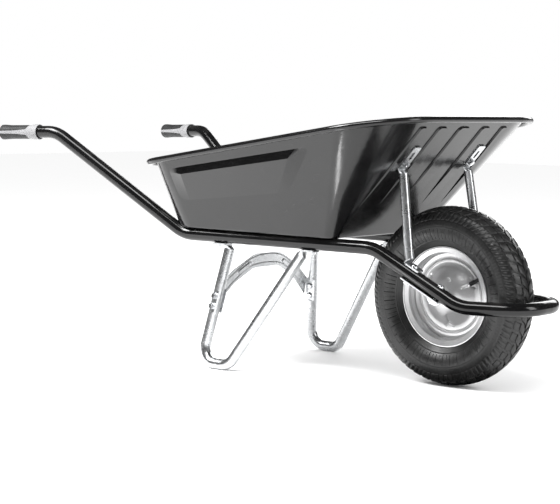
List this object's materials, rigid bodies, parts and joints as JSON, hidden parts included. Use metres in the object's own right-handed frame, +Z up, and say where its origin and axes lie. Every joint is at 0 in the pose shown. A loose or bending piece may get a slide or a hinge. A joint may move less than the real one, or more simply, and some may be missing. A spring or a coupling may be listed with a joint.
{
  "type": "wheelbarrow",
  "caption": "Single-wheel builder's wheelbarrow: pressed steel tray on a bent tube frame with front loop, tube legs, tray stays, arched leg brace and a wide pneumatic tyre.",
  "frame": {"origin": "on the ground, under the middle of the barrow's length and width", "axes": "+X forward from the handles to the wheel, +Y to the pusher's left, +Z up"},
  "size_m": [1.4273, 0.6532, 0.5971],
  "materials": {
    "tray_black": "gloss black paint on pressed steel",
    "frame_black": "gloss black paint on steel tube",
    "galvanised": "bright galvanised steel",
    "wheel_silver": "silver painted pressed steel",
    "tyre_rubber": "black rubber with a slight sheen",
    "tube_rubber": "black butyl rubber",
    "grip_dark": "dark grey soft plastic",
    "grip_light": "light grey hard plastic",
    "bearing_steel": "bearing steel",
    "zinc_hardware": "zinc plated steel"
  },
  "bodies": {
    "frame": {"axle": "zinc_hardware", "axle_bracket_left": "galvanised", "axle_bracket_right": "galvanised", "axle_nuts": "zinc_hardware", "axle_washers": "zinc_hardware", "brace_bolts": "zinc_hardware", "brace_nuts": "zinc_hardware", "bracket_bolts": "zinc_hardware", "bracket_nuts": "zinc_hardware", "frame_tube": "frame_black", "grip_inlay_left": "grip_light", "grip_inlay_right": "grip_light", "grip_left": "grip_dark", "grip_right": "grip_dark", "leg_brace": "galvanised", "leg_left": "galvanised", "leg_right": "galvanised", "stay_bolts": "zinc_hardware", "stay_left": "galvanised", "stay_nuts": "zinc_hardware", "stay_right": "galvanised", "stay_washers": "zinc_hardware", "tray": "tray_black", "tray_bolts": "zinc_hardware", "tray_nuts": "zinc_hardware", "tray_washers": "zinc_hardware", "wheel_spacers": "zinc_hardware"},
    "wheel": {"hub_tube": "wheel_silver", "inner_tube": "tube_rubber", "rim_ring": "wheel_silver", "tyre": "tyre_rubber", "valve_cap": "tube_rubber", "valve_stem": "tube_rubber", "wheel_bearing_left": "bearing_steel", "wheel_bearing_right": "bearing_steel", "wheel_disc_left": "wheel_silver", "wheel_disc_right": "wheel_silver"}
  },
  "joints": [
    {"name": "wheel_spin", "type": "hinge", "parent": "frame", "child": "wheel", "pos_m": [0.4635, 0, 0.2], "axis": [0, 1, 0], "continuous": true}
  ]
}
